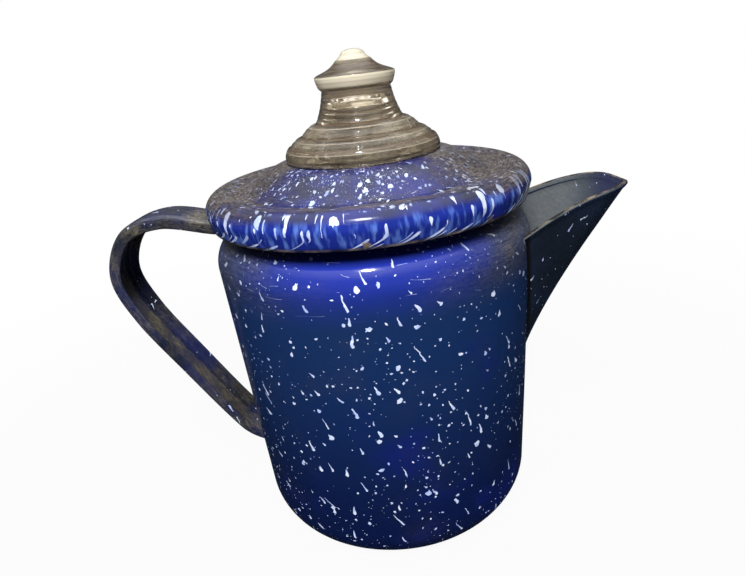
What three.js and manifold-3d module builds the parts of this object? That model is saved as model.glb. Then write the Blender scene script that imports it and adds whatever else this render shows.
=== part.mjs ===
// Enamelled steel coffee percolator with a pressed glass knob, a pump and a grounds basket.
// Millimetres, +Z up. The origin is the centre of the underside of the pot, the spout points
// along +X and the handle is on the -X side.

import * as THREE from 'three';
import { mergeVertices } from 'three/addons/utils/BufferGeometryUtils.js';
import Module from 'manifold-3d';

const wasm = await Module();
wasm.setup();

// ---------------------------------------------------------------- driving dimensions

const STEEL = 0.9; // sheet of the enamelled pieces
const ALUMINIUM = 0.7; // sheet of the pump and the basket
const GAP = 0.3; // clearance between pieces that touch
const CUT_OVERRUN = 1; // how far a cutting shape passes the face it opens
const ROUND = 40; // sides of the pot and the lid
const SMALL_ROUND = 28; // sides of the narrower turned pieces
const HOLE_SIDES = 6;
const QUARTER = Math.PI / 2;
const DEGREE = Math.PI / 180;

const pot = {
  footRadius: 60.2,
  footCorner: 15.5,
  bodyRadius: 63.7,
  shoulderHeight: 120.7,
  shoulderCorner: 12.3,
  neckRadius: 49.5,
  neckFillet: 1.5,
  rimHeight: 145.7,
  curlRadius: 0.9,
};

// Holes in the wall behind the spout.
const strainer = {
  holeRadius: 2.2,
  spacing: 7.2 * DEGREE,
  drillLength: 10,
  rows: [
    { height: 114, count: 5 },
    { height: 106, count: 4 },
    { height: 98, count: 3 },
    { height: 90, count: 2 },
  ],
};

const seamHalfAngle = 25 * DEGREE;

const spout = {
  wall: 1.1,
  bottom: 61,
  tipRadius: 102.2,
  tipHeight: 134.5,
  seamWidth: pot.bodyRadius * Math.sin(seamHalfAngle),
  seamReach: pot.bodyRadius * Math.cos(seamHalfAngle),
  overlap: 8, // run of the sheet into the pot before it is trimmed
  noseStart: 88,
  noseWidth: 14,
  noseInset: 4.2,
  sideTaper: 0.316, // loss of half-width per millimetre away from the pot
  widening: 0.75, // power law of the half-width with height
  reach: 1.35, // power law of the outward reach with height
  ridge: 0.02, // half-width of the crease under the tip
};

// The rim of the spout as [reach, height]: it climbs from the shoulder and dips at the lip.
const spoutRimPlaces = [
  [47, 117.5],
  [57.7, 123.5],
  [70.4, 129.5],
  [83.2, 133.8],
  [96, 135.8],
  [spout.tipRadius, spout.tipHeight],
];

const handle = {
  width: 19,
  depth: 5.5,
  edgeRadius: 2.5,
  wall: 1.1,
};

// The back of the handle as [x, z], from the neck over the top and down to the foot of the pot.
const handlePlaces = [
  [-50.6, 134.9],
  [-63, 136.1],
  [-86, 140.3],
  [-104.5, 134.2],
  [-114, 115],
  [-108, 93.5],
  [-92, 66],
  [-76, 40.2],
  [-68, 30.4],
  [-56, 24],
];

const lid = {
  radius: 64,
  bandRadius: 6.3,
  widestHeight: 142.2,
  edgeRadius: 62.7,
  edgeHeight: 136.8,
  valleyRadius: 50.2,
  valleyHeight: 147.1,
  valleyEase: 5.7, // length of the curve's tangent at the foot of the dome
  crestEase: 3,
  seatRadius: 31,
  seatHeight: 155.5,
  seatEase: 8,
  seatDrop: 0.5,
  holeRadius: 19.2,
  notchReach: 22.4,
  notchWidth: 14,
};

// The collar under the lid.
const collar = {
  radius: 47.9,
  bottom: 137.2,
  foldStart: 144.8,
  foldEnd: 146.3,
  foldInset: 1,
  innerRadius: 43.6,
  top: 148,
};

const knob = {
  flangeRadius: 30.4,
  flangeEdge: 0.8,
  collarRadius: 18.5,
  collarBottom: 151,
  neckRadius: 12.6,
  neckHeight: 179.8,
  neckFlare: 1, // how far the neck's curve starts outside its narrowest radius
  neckBend: 0.4, // where along the neck's height it bends most
  capRadius: 15.3,
  capBottom: 181.2,
  capTop: 185.6,
  capEdge: 0.8,
  finialRadius: 5.2,
  finialHeight: 191.2,
  roofSpread: 3,
  roofRise: 1.4,
  finialRound: 1.2,
  top: 194,
  stepInset: 0.5,
  bulge: 1.2, // how far each tier swells past the straight line between its steps
  boreRadius: 15.5,
  boreNeckRadius: 9,
  boreNeckHeight: 173,
  boreTaperHeight: 162,
  boreFlare: 1.5,
  boreBend: 0.5,
  boreTop: 177,
  boreTopRound: 1,
  lugReach: 21.6,
  lugWidth: 12.5,
  lugHeight: 1.7,
};

// The steps of the glass tiers as [radius, height], from the flange up to the foot of the neck.
const knobSteps = [
  [knob.flangeRadius, 158],
  [28.4, 161.1],
  [23.9, 164.6],
  [17.6, 169.2],
];

const pump = {
  tubeRadius: 4,
  tubeBore: 3.4,
  tubeBottom: 17.6,
  tubeTop: 163.5,
  flareRadius: 5.4,
  beadRadius: 5.8,
  bellRadius: 27.5,
  bellFlangeInner: 24,
  chamberRadius: 10.5,
  chamberBottom: 13,
  chamberTop: 20.5,
  notches: 4,
  notchRadius: 3.2,
  notchLength: 16,
  flareRise: 1.6,
  beadRise: 1.8,
  topClearance: 0.4,
  valveRadius: 7.6,
  valveThickness: 0.6,
  seatBottom: 13.6,
  seatBore: 4.5,
};

const basket = {
  bottom: 83.6,
  bottomRadius: 38.6,
  corner: 3,
  topRadius: 40,
  top: 126.6,
  flangeRadius: 41.8,
  sleeveBore: 4.6,
  sleeveRadius: 5.3,
  sleeveFoot: 8,
  sleeveTop: 118,
  floorBore: 4.5,
  flare: 0.4,
  holeRadius: 1.3,
};

const spreader = {
  floor: 124.5,
  floorBore: 4.8,
  floorRadius: 37,
  corner: 1,
  flare: 0.4,
  flangeRadius: 42.3,
  holeRadius: 1.5,
};

// Rings of holes as [radius, number of holes].
const basketRings = [
  [13, 6],
  [21, 8],
  [29, 11],
];
const spreaderRings = [
  [11, 6],
  [20, 8],
  [29, 11],
];

const enamel = new THREE.MeshStandardMaterial({ color: 0x14206e, roughness: 0.18, metalness: 0 });
const glass = new THREE.MeshStandardMaterial({ color: 0xb8ae98, roughness: 0.08, metalness: 0 });
const metal = new THREE.MeshStandardMaterial({ color: 0xb9bbbd, roughness: 0.4, metalness: 1 });

// ---------------------------------------------------------------- outlines

function outlineOf(places) {
  return places.map(([radius, height]) => new THREE.Vector2(radius, height));
}

// The points of a path, without repeats.
function pointsOf(path, divisions) {
  const points = path.getPoints(divisions);
  return points.filter((point, i) => i === 0 || point.distanceTo(points[i - 1]) > 1e-3);
}

// A line moved sideways: to its left by a positive distance, to its right by a negative one.
function offsetLine(points, distance) {
  const directions = points.slice(1).map((point, i) => point.clone().sub(points[i]).normalize());
  return points.map((point, i) => {
    const arriving = directions[Math.max(i - 1, 0)];
    const leaving = directions[Math.min(i, directions.length - 1)];
    const normal = new THREE.Vector2(-arriving.y - leaving.y, arriving.x + leaving.x).normalize();
    const mitre = Math.max(normal.x * -leaving.y + normal.y * leaving.x, 0.5);
    return point.clone().addScaledVector(normal, distance / mitre);
  });
}

// The outline of a sheet whose one face runs along a line.
function sheetOutline(points, thickness) {
  return [...points, ...offsetLine(points, thickness).reverse()];
}

// ---------------------------------------------------------------- solids

// A closed solid from a geometry, with its vertices shared and its faces pointing out.
function solidOf(geometry) {
  geometry.deleteAttribute('normal');
  geometry.deleteAttribute('uv');
  const merged = mergeVertices(geometry, 1e-3);
  const vertices = merged.attributes.position.array;
  const corners = merged.index.array;
  const triangles = [];
  let volume = 0;
  for (let i = 0; i < corners.length; i += 3) {
    const [a, b, c] = corners.slice(i, i + 3);
    if (a === b || b === c || a === c) continue;
    triangles.push(a, b, c);
    const [p, q, r] = [a, b, c].map((corner) => new THREE.Vector3().fromArray(vertices, 3 * corner));
    volume += p.dot(q.cross(r));
  }
  if (volume < 0) triangles.reverse();
  const triVerts = Uint32Array.from(triangles);
  return new wasm.Manifold(new wasm.Mesh({ numProp: 3, vertProperties: vertices, triVerts }));
}

// A solid turned about Z from an outline of (radius, height) points.
function turned(outline, sides) {
  const closesOnAxis = outline[0].x === 0 && outline.at(-1).x === 0;
  const points = closesOnAxis ? outline : [...outline, outline[0]];
  return solidOf(new THREE.LatheGeometry(points, sides).rotateX(QUARTER));
}

// A straight rod along Z from one height to another.
function rod(radius, from, to, sides) {
  const geometry = new THREE.CylinderGeometry(radius, radius, to - from, sides);
  return solidOf(geometry.rotateX(QUARTER).translate(0, 0, (from + to) / 2));
}

// A block centred on the Z axis, with its bottom at a height.
function block(length, width, height, bottom) {
  const geometry = new THREE.BoxGeometry(length, width, height);
  return solidOf(geometry.translate(0, 0, bottom + height / 2));
}

// A solid through rings of points that mirror each other across the XZ plane.
function loft(rings) {
  const count = rings[0].length;
  const positions = rings.flat().flatMap((point) => point.toArray());
  const index = [];
  for (let ring = 0; ring < rings.length - 1; ring += 1) {
    for (let i = 0; i < count; i += 1) {
      const low = ring * count + i;
      const lowNext = ring * count + ((i + 1) % count);
      index.push(low, lowNext, lowNext + count, low, lowNext + count, low + count);
    }
  }
  const topStart = (rings.length - 1) * count;
  for (let i = 0; i < count / 2 - 1; i += 1) {
    const far = count - 1 - i;
    index.push(far, far - 1, i, far - 1, i + 1, i);
    index.push(topStart + i, topStart + i + 1, topStart + far);
    index.push(topStart + i + 1, topStart + far - 1, topStart + far);
  }
  const geometry = new THREE.BufferGeometry();
  geometry.setAttribute('position', new THREE.Float32BufferAttribute(positions, 3));
  geometry.setIndex(index);
  return solidOf(geometry);
}

// A named mesh of a finished solid.
function piece(name, solid, material) {
  const { vertProperties, triVerts } = solid.getMesh();
  const geometry = new THREE.BufferGeometry();
  geometry.setAttribute('position', new THREE.BufferAttribute(vertProperties, 3));
  geometry.setIndex(new THREE.BufferAttribute(triVerts, 1));
  geometry.computeVertexNormals();
  const mesh = new THREE.Mesh(geometry, material);
  mesh.name = name;
  return mesh;
}

// Takes rings of vertical holes out of a sheet that lies at a height.
function perforate(solid, rings, holeRadius, height) {
  const from = height - ALUMINIUM;
  const to = height + 2 * ALUMINIUM;
  let result = solid;
  for (const [radius, count] of rings) {
    for (let i = 0; i < count; i += 1) {
      const angle = (2 * Math.PI * i) / count;
      const drill = rod(holeRadius, from, to, HOLE_SIDES);
      const place = [radius * Math.cos(angle), radius * Math.sin(angle), 0];
      result = result.subtract(drill.translate(place));
    }
  }
  return result;
}

// ---------------------------------------------------------------- pot

// The outer face of the pot, from the middle of the base up to the neck below the rolled rim.
function potWall() {
  const line = new THREE.Path();
  line.moveTo(0, 0);
  line.lineTo(pot.footRadius - pot.footCorner, 0);
  line.absarc(pot.footRadius - pot.footCorner, pot.footCorner, pot.footCorner, -QUARTER, 0, false);
  const shoulderCentre = pot.bodyRadius - pot.shoulderCorner;
  line.absarc(shoulderCentre, pot.shoulderHeight, pot.shoulderCorner, 0, QUARTER, false);
  const shoulderTop = pot.shoulderHeight + pot.shoulderCorner;
  const filletCentre = pot.neckRadius + pot.neckFillet;
  line.absarc(filletCentre, shoulderTop + pot.neckFillet, pot.neckFillet, -QUARTER, -2 * QUARTER, true);
  return line;
}

// The space the pot fills, grown by the gap, for cutting the pieces that are welded to it.
function potEnvelope() {
  const line = potWall();
  line.lineTo(pot.neckRadius, pot.rimHeight);
  const grown = offsetLine(pointsOf(line, 2), -GAP);
  grown[0].x = 0;
  return turned([...grown, new THREE.Vector2(0, pot.rimHeight)], ROUND);
}

function potBody() {
  const line = potWall();
  const curlCentre = pot.rimHeight - pot.curlRadius - STEEL;
  line.lineTo(pot.neckRadius, curlCentre);
  line.absarc(pot.neckRadius + pot.curlRadius, curlCentre, pot.curlRadius, 2 * QUARTER, -QUARTER / 2, true);
  let body = turned(sheetOutline(pointsOf(line, 2), STEEL), ROUND);
  const { holeRadius, spacing, drillLength, rows } = strainer;
  for (const { height, count } of rows) {
    for (let i = 0; i < count; i += 1) {
      const angle = (i - (count - 1) / 2) * spacing;
      const drill = new THREE.CylinderGeometry(holeRadius, holeRadius, drillLength, HOLE_SIDES);
      drill.rotateZ(QUARTER).translate(pot.bodyRadius, 0, height).rotateZ(angle);
      body = body.subtract(solidOf(drill));
    }
  }
  return body;
}

// ---------------------------------------------------------------- spout

// Radius of the pot's tapered wall at a height.
function wallRadius(height) {
  const rise = (height - pot.footCorner) / (pot.shoulderHeight - pot.footCorner);
  return THREE.MathUtils.lerp(pot.footRadius, pot.bodyRadius, Math.min(rise, 1));
}

// Half of the spout's rim seen from above, from inside the pot to the tip, as (reach, half-width).
function spoutPlan() {
  const start = spout.seamReach - spout.overlap;
  const widthAt = (reach) => spout.seamWidth - spout.sideTaper * (reach - spout.seamReach);
  const parts = 5;
  const plan = new THREE.Path();
  plan.moveTo(start, widthAt(start));
  for (let i = 1; i <= parts; i += 1) {
    const reach = THREE.MathUtils.lerp(start, spout.noseStart, i / parts);
    plan.lineTo(reach, widthAt(reach));
  }
  plan.quadraticCurveTo(spout.tipRadius - spout.noseInset, spout.noseWidth, spout.tipRadius, 0);
  return pointsOf(plan, 6);
}

// Height of the spout's rim over its plan.
function rimHeight(reach) {
  const samples = new THREE.SplineCurve(outlineOf(spoutRimPlaces)).getPoints(60);
  const after = Math.max(samples.findIndex((sample) => sample.x >= reach - 1e-6), 1);
  const [a, b] = [samples[after - 1], samples[after]];
  return THREE.MathUtils.mapLinear(reach, a.x, b.x, a.y, b.y);
}

// One ring of the spout at a share of the way up from its lowest point to its rim.
function spoutRing(share, inset) {
  const widthShare = share ** spout.widening;
  const reachShare = share ** spout.reach;
  const half = spoutPlan().map(({ x, y }) => {
    const height = spout.bottom + (rimHeight(x) - spout.bottom) * share;
    const seam = Math.sqrt(wallRadius(height) ** 2 - (spout.seamWidth * widthShare) ** 2);
    return { flat: new THREE.Vector2(seam + (x - spout.seamReach) * reachShare, y * widthShare), height };
  });
  const mirrored = half.slice(0, -1).reverse().map(({ flat, height }) => {
    return { flat: new THREE.Vector2(flat.x, -flat.y), height };
  });
  const ring = [...half, ...mirrored];
  const moved = offsetLine(ring.map(({ flat }) => flat), -inset);
  const points = moved.map((flat, i) => new THREE.Vector3(flat.x, flat.y, ring[i].height));
  const tip = half.length - 1;
  points.splice(tip, 1, points[tip], points[tip].clone());
  points[tip].y = spout.ridge;
  points[tip + 1].y = -spout.ridge;
  return points;
}

function spoutShell(envelope) {
  const shares = [0.01, 0.05, 0.12, 0.2, 0.3, 0.42, 0.55, 0.7, 0.85];
  const solidRings = 2; // rings below the hollow of the spout
  const pastRim = 1.06;
  const outside = loft([...shares, 1].map((share) => spoutRing(share, 0)));
  const hollow = [...shares.slice(solidRings), pastRim];
  const inside = loft(hollow.map((share) => spoutRing(share, spout.wall)));
  return outside.subtract(inside).subtract(envelope);
}

// ---------------------------------------------------------------- handle

// The strap's section: a shallow channel, open towards the pot.
function channelSection() {
  const half = handle.width / 2;
  const centre = half - handle.edgeRadius;
  const line = new THREE.Path();
  line.moveTo(-half, -handle.depth);
  line.absarc(-centre, -handle.edgeRadius, handle.edgeRadius, 2 * QUARTER, QUARTER, true);
  line.absarc(centre, -handle.edgeRadius, handle.edgeRadius, QUARTER, 0, true);
  line.lineTo(half, -handle.depth);
  return new THREE.Shape(sheetOutline(pointsOf(line, 2), -handle.wall));
}

function handleStrap(envelope) {
  const path = new THREE.CatmullRomCurve3(handlePlaces.map(([x, z]) => new THREE.Vector3(x, 0, z)));
  const strap = new THREE.ExtrudeGeometry(channelSection(), { steps: 32, extrudePath: path });
  return solidOf(strap).subtract(envelope);
}

// ---------------------------------------------------------------- lid

function lidShell() {
  const line = new THREE.Path();
  const crestRadius = lid.radius - lid.bandRadius;
  const crestHeight = lid.widestHeight + lid.bandRadius;
  line.moveTo(lid.holeRadius, lid.seatHeight);
  line.lineTo(lid.seatRadius, lid.seatHeight);
  line.bezierCurveTo(
    lid.seatRadius + lid.seatEase,
    lid.seatHeight - lid.seatDrop,
    lid.valleyRadius - lid.valleyEase,
    lid.valleyHeight,
    lid.valleyRadius,
    lid.valleyHeight,
  );
  line.bezierCurveTo(
    lid.valleyRadius + lid.crestEase,
    lid.valleyHeight,
    crestRadius - lid.crestEase,
    crestHeight,
    crestRadius,
    crestHeight,
  );
  line.absarc(crestRadius, lid.widestHeight, lid.bandRadius, QUARTER, 0, true);
  line.lineTo(lid.edgeRadius, lid.edgeHeight);
  const shell = turned(sheetOutline(pointsOf(line, 3), -STEEL), ROUND);
  const notch = block(2 * lid.notchReach, lid.notchWidth, 4 * STEEL, lid.seatHeight - 2 * STEEL);
  return shell.subtract(notch);
}

// The collar under the lid that locates it in the neck, with its top folded in along the dome.
function lidRing() {
  const line = new THREE.Path();
  line.moveTo(collar.radius, collar.bottom);
  line.lineTo(collar.radius, collar.foldStart);
  line.quadraticCurveTo(
    collar.radius,
    collar.foldStart + collar.foldInset,
    collar.radius - collar.foldInset,
    collar.foldEnd,
  );
  line.lineTo(collar.innerRadius, collar.top);
  return turned(sheetOutline(pointsOf(line, 2), ALUMINIUM), SMALL_ROUND);
}

// ---------------------------------------------------------------- glass knob

function glassKnob() {
  const flangeBottom = lid.seatHeight + GAP;
  const line = new THREE.Path();
  line.moveTo(0, knob.collarBottom);
  line.lineTo(knob.collarRadius, knob.collarBottom);
  line.lineTo(knob.collarRadius, flangeBottom);
  line.lineTo(knob.flangeRadius - knob.flangeEdge, flangeBottom);
  line.lineTo(knob.flangeRadius, flangeBottom + knob.flangeEdge);
  line.lineTo(...knobSteps[0]);
  for (let i = 1; i < knobSteps.length; i += 1) {
    const [radius, height] = knobSteps[i];
    const { x, y } = line.currentPoint;
    line.quadraticCurveTo((x + radius) / 2 + knob.bulge, (y + height) / 2 + knob.bulge, radius, height);
    line.lineTo(radius - knob.stepInset, height);
  }
  const neckMiddle = THREE.MathUtils.lerp(line.currentPoint.y, knob.neckHeight, knob.neckBend);
  line.quadraticCurveTo(
    knob.neckRadius + knob.neckFlare,
    neckMiddle,
    knob.neckRadius,
    knob.neckHeight,
  );
  line.lineTo(knob.capRadius - knob.capEdge, knob.capBottom);
  line.lineTo(knob.capRadius, knob.capBottom + knob.capEdge);
  line.lineTo(knob.capRadius, knob.capTop - knob.capEdge);
  line.lineTo(knob.capRadius - knob.capEdge, knob.capTop);
  line.quadraticCurveTo(
    knob.finialRadius + knob.roofSpread,
    knob.capTop + knob.roofRise,
    knob.finialRadius,
    knob.finialHeight,
  );
  line.quadraticCurveTo(knob.finialRadius - knob.finialRound, knob.top, 0, knob.top);
  const outside = turned(pointsOf(line, 3), SMALL_ROUND);

  const bore = new THREE.Path();
  bore.moveTo(0, knob.collarBottom - CUT_OVERRUN);
  bore.lineTo(knob.boreRadius, knob.collarBottom - CUT_OVERRUN);
  bore.lineTo(knob.boreRadius - knob.stepInset, knob.boreTaperHeight);
  const boreMiddle = THREE.MathUtils.lerp(knob.boreTaperHeight, knob.boreNeckHeight, knob.boreBend);
  bore.quadraticCurveTo(
    knob.boreNeckRadius + knob.boreFlare,
    boreMiddle,
    knob.boreNeckRadius,
    knob.boreNeckHeight,
  );
  bore.quadraticCurveTo(knob.boreNeckRadius - knob.boreTopRound, knob.boreTop, 0, knob.boreTop);
  const hollow = turned(pointsOf(bore, 3), SMALL_ROUND);

  const lugBottom = lid.seatHeight - STEEL - GAP - knob.lugHeight;
  const lugs = block(knob.lugWidth, 2 * knob.lugReach, knob.lugHeight, lugBottom);
  return outside.add(lugs).subtract(hollow);
}

// ---------------------------------------------------------------- pump

// The tube, flared inside the bell and beaded where the basket rests.
function pumpTube() {
  const beadTop = basket.bottom - GAP;
  const outline = outlineOf([
    [pump.tubeBore, pump.tubeTop],
    [pump.tubeBore, pump.tubeBottom],
    [pump.flareRadius, pump.tubeBottom],
    [pump.flareRadius, pump.tubeBottom + ALUMINIUM],
    [pump.tubeRadius, pump.tubeBottom + pump.flareRise],
    [pump.tubeRadius, beadTop - pump.beadRise],
    [pump.beadRadius, beadTop - ALUMINIUM],
    [pump.beadRadius, beadTop],
    [pump.tubeRadius, beadTop],
    [pump.tubeRadius, pump.tubeTop],
  ]);
  return turned(outline, SMALL_ROUND);
}

// The bell that stands on the pot's floor, with notches that let the water in.
function pumpBell() {
  const floor = STEEL + GAP;
  const top = floor + ALUMINIUM;
  const line = outlineOf([
    [pump.bellRadius, top],
    [pump.bellFlangeInner, top],
    [pump.chamberRadius, pump.chamberBottom],
    [pump.chamberRadius, pump.chamberTop],
    [pump.tubeRadius + pump.topClearance, pump.chamberTop],
  ]);
  let bell = turned(sheetOutline(line, ALUMINIUM), SMALL_ROUND);
  for (let i = 0; i < pump.notches; i += 1) {
    const angle = (i + 0.5) * QUARTER;
    const cutter = new THREE.CylinderGeometry(
      pump.notchRadius,
      pump.notchRadius,
      pump.notchLength,
      2 * HOLE_SIDES,
    );
    cutter.rotateZ(QUARTER).translate(pump.bellFlangeInner, 0, floor).rotateZ(angle);
    bell = bell.subtract(solidOf(cutter));
  }
  return bell;
}

// A flat washer turned about Z.
function washer(bore, radius, bottom, thickness) {
  const outline = outlineOf([
    [bore, bottom],
    [radius, bottom],
    [radius, bottom + thickness],
    [bore, bottom + thickness],
  ]);
  return turned(outline, SMALL_ROUND);
}

function valveSeat() {
  const radius = pump.chamberRadius - ALUMINIUM - pump.topClearance;
  return washer(pump.seatBore, radius, pump.seatBottom, ALUMINIUM);
}

function valveDisc() {
  const bottom = pump.seatBottom + ALUMINIUM + GAP;
  return rod(pump.valveRadius, bottom, bottom + pump.valveThickness, SMALL_ROUND);
}

// ---------------------------------------------------------------- basket

function basketCup() {
  const line = new THREE.Path();
  line.moveTo(basket.floorBore, basket.bottom);
  line.lineTo(basket.bottomRadius - basket.corner, basket.bottom);
  line.absarc(
    basket.bottomRadius - basket.corner,
    basket.bottom + basket.corner,
    basket.corner,
    -QUARTER,
    0,
    false,
  );
  line.lineTo(basket.topRadius, basket.top - basket.flare);
  line.lineTo(basket.flangeRadius, basket.top);
  const cup = turned(sheetOutline(pointsOf(line, 1), ALUMINIUM), SMALL_ROUND);
  return perforate(cup, basketRings, basket.holeRadius, basket.bottom);
}

// The centre sleeve of the basket, crimped to its floor by a flat foot.
function basketSleeve() {
  const foot = basket.bottom + ALUMINIUM + GAP;
  const outline = outlineOf([
    [basket.sleeveBore, foot],
    [basket.sleeveFoot, foot],
    [basket.sleeveFoot, foot + ALUMINIUM],
    [basket.sleeveRadius, foot + ALUMINIUM],
    [basket.sleeveRadius, basket.sleeveTop],
    [basket.sleeveBore, basket.sleeveTop],
  ]);
  return turned(outline, SMALL_ROUND);
}

// The perforated dish that spreads the water over the grounds.
function basketLid() {
  const flange = basket.top + ALUMINIUM + GAP;
  const line = outlineOf([
    [spreader.floorBore, spreader.floor],
    [spreader.floorRadius - spreader.corner, spreader.floor],
    [spreader.floorRadius, spreader.floor + spreader.corner],
    [spreader.floorRadius, flange - spreader.flare],
    [spreader.floorRadius + spreader.flare, flange],
    [spreader.flangeRadius, flange],
  ]);
  const dish = turned(sheetOutline(line, ALUMINIUM), SMALL_ROUND);
  return perforate(dish, spreaderRings, spreader.holeRadius, spreader.floor);
}

// ---------------------------------------------------------------- assembly

const envelope = potEnvelope();

const percolator = new THREE.Group();
percolator.add(
  piece('pot_body', potBody(), enamel),
  piece('spout', spoutShell(envelope), enamel),
  piece('handle', handleStrap(envelope), enamel),
  piece('lid_shell', lidShell(), enamel),
  piece('lid_ring', lidRing(), metal),
  piece('glass_knob', glassKnob(), glass),
  piece('pump_tube', pumpTube(), metal),
  piece('pump_bell', pumpBell(), metal),
  piece('valve_seat', valveSeat(), metal),
  piece('valve_disc', valveDisc(), metal),
  piece('basket_cup', basketCup(), metal),
  piece('basket_sleeve', basketSleeve(), metal),
  piece('basket_lid', basketLid(), metal),
);

export default percolator;
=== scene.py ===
"""Enamelled coffee percolator: fine meshes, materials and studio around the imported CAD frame.

Outlines are drawn in millimetres as (radius, height) points, and MM turns them into Blender's metres.
"""

from math import ceil, cos, dist, pi, radians, sin, sqrt

import bmesh
import bpy
from mathutils import Matrix, Vector, noise


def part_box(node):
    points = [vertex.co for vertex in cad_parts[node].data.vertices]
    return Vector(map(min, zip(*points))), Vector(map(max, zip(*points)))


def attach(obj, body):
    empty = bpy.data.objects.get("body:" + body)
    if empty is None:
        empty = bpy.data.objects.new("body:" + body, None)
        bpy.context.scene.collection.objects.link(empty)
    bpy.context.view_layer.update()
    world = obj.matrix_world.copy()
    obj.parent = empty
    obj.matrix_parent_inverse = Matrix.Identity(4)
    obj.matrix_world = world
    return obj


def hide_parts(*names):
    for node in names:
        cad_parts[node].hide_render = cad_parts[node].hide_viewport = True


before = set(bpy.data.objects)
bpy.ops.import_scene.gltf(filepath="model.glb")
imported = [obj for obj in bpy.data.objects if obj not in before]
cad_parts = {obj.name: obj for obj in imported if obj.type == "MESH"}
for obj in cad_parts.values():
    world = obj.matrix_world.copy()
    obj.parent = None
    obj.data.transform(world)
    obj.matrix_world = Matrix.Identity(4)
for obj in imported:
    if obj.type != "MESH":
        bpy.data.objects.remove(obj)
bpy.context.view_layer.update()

link = bpy.context.scene.collection.objects.link

MM = 0.001
TURN = 2 * pi
QUARTER = pi / 2
TINY = 1e-6
SAME_POINT = 1e-4

# ------ sizes, from the frame


def span(node):
    """The bottom, top and largest Y of a node. The largest Y of a turned node is its radius."""
    low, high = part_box(node)
    return low.z / MM, high.z / MM, high.y / MM


STEEL = 0.9
ALUMINIUM = 0.7
GAP = 0.3

_, POT_RIM, POT_RADIUS = span("pot_body")
FOOT_RADIUS = POT_RADIUS - 3.5
FOOT_CORNER = 15.5
SHOULDER_CORNER = 12.3
SHOULDER_TOP = POT_RIM - 12.7
SHOULDER_START = SHOULDER_TOP - SHOULDER_CORNER
NECK_RADIUS = POT_RADIUS - 14.2
NECK_FILLET = 1.5
CURL_RADIUS = 0.9
WALL_SLOPE = (POT_RADIUS - FOOT_RADIUS) / (SHOULDER_START - FOOT_CORNER)

LID_EDGE, LID_SEAT, LID_RADIUS = span("lid_shell")
LID_HOLE = 19.2
LID_BAND = 6.3
LID_WIDEST = LID_EDGE + 5.4
VALLEY_RADIUS = LID_RADIUS - 13.8

KNOB_BOTTOM, KNOB_TOP, KNOB_RADIUS = span("glass_knob")
KNOB_FLANGE = LID_SEAT + GAP
TIER_TOPS = KNOB_FLANGE + 5.2, KNOB_FLANGE + 8.5, KNOB_FLANGE + 12.8
# Heights of the dirt and painted shade in the grooves, and of the painted highlights along the tiers' edges.
TIER_GROOVES = TIER_TOPS[0] - 0.2, TIER_TOPS[1] + 0.1, TIER_TOPS[2] + 0.1
TIER_EDGES = TIER_TOPS[0] - 1.1, TIER_TOPS[1] - 0.9, TIER_TOPS[2] - 0.9
KNOB_NECK_TOP = KNOB_FLANGE + 24.4
KNOB_CAP = KNOB_FLANGE + 29.5
KNOB_ROOF = KNOB_FLANGE + 33.5

SPOUT_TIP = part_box("spout")[1].x / MM
SPOUT_BOTTOM = 61
SPOUT_WALL = 1.1
SEAM_HALF_ANGLE = radians(25)
SEAM_WIDTH = POT_RADIUS * sin(SEAM_HALF_ANGLE)
SEAM_REACH = POT_RADIUS * cos(SEAM_HALF_ANGLE)
SIDE_TAPER = 0.316
NOSE_START = SPOUT_TIP - 14.2
RIM_BEAD = 0.35

_, HANDLE_TOP, half_strap = span("handle")
HANDLE_WIDTH = 2 * half_strap
HANDLE_DEPTH = 5.5
HANDLE_WALL = 1.1
HANDLE_BACK = HANDLE_WIDTH + 2 * HANDLE_DEPTH - 1.2

# ------ outlines


def arc(centre, radius, start, end, steps):
    """Points on an arc, with angles in radians from the +r axis."""
    angles = [start + (end - start) * i / steps for i in range(steps + 1)]
    return [(centre[0] + radius * cos(a), centre[1] + radius * sin(a)) for a in angles]


def bezier(a, b, c, d, steps):
    points = []
    for i in range(steps + 1):
        t = i / steps
        weights = ((1 - t) ** 3, 3 * t * (1 - t) ** 2, 3 * t * t * (1 - t), t ** 3)
        points.append(tuple(sum(w * p[k] for w, p in zip(weights, (a, b, c, d))) for k in (0, 1)))
    return points


def smooth(points, steps):
    """A Catmull-Rom curve through points."""
    points = [Vector(p) for p in points]
    control = [2 * points[0] - points[1]] + points + [2 * points[-1] - points[-2]]
    curve = []
    for i in range(1, len(control) - 2):
        before, a, b, after = control[i - 1:i + 3]
        for k in range(steps):
            t = k / steps
            curve.append(0.5 * (2 * a + (b - before) * t + (2 * before - 5 * a + 4 * b - after) * t * t
                                + (3 * a - before - 3 * b + after) * t ** 3))
    curve.append(points[-1])
    return [tuple(p) for p in curve]


def refined(points, longest):
    """The same line with stretches over a length split evenly."""
    out = [points[0]]
    for a, b in zip(points, points[1:]):
        parts = max(1, ceil(dist(a, b) / longest))
        for k in range(1, parts + 1):
            out.append(tuple(p + (q - p) * k / parts for p, q in zip(a, b)))
    return out


def lengths_along(points):
    """The distance from the first point to each point."""
    lengths = [0]
    for a, b in zip(points, points[1:]):
        lengths.append(lengths[-1] + dist(a, b))
    return lengths


def distinct(points):
    out = [points[0]]
    for p in points[1:]:
        if dist(p, out[-1]) > SAME_POINT:
            out.append(p)
    return out


def moved_sideways(points, distance):
    """The line moved to its left by a distance, or to its right where it is negative."""
    out = []
    steps = [(Vector(b) - Vector(a)).normalized() for a, b in zip(points, points[1:])]
    for i, point in enumerate(points):
        arriving, leaving = steps[max(i - 1, 0)], steps[min(i, len(steps) - 1)]
        normal = Vector((-arriving.y - leaving.y, arriving.x + leaving.x)).normalized()
        mitre = max(normal.dot(Vector((-leaving.y, leaving.x))), 0.5)
        out.append(tuple(Vector(point) + normal * (distance / mitre)))
    return out


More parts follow.
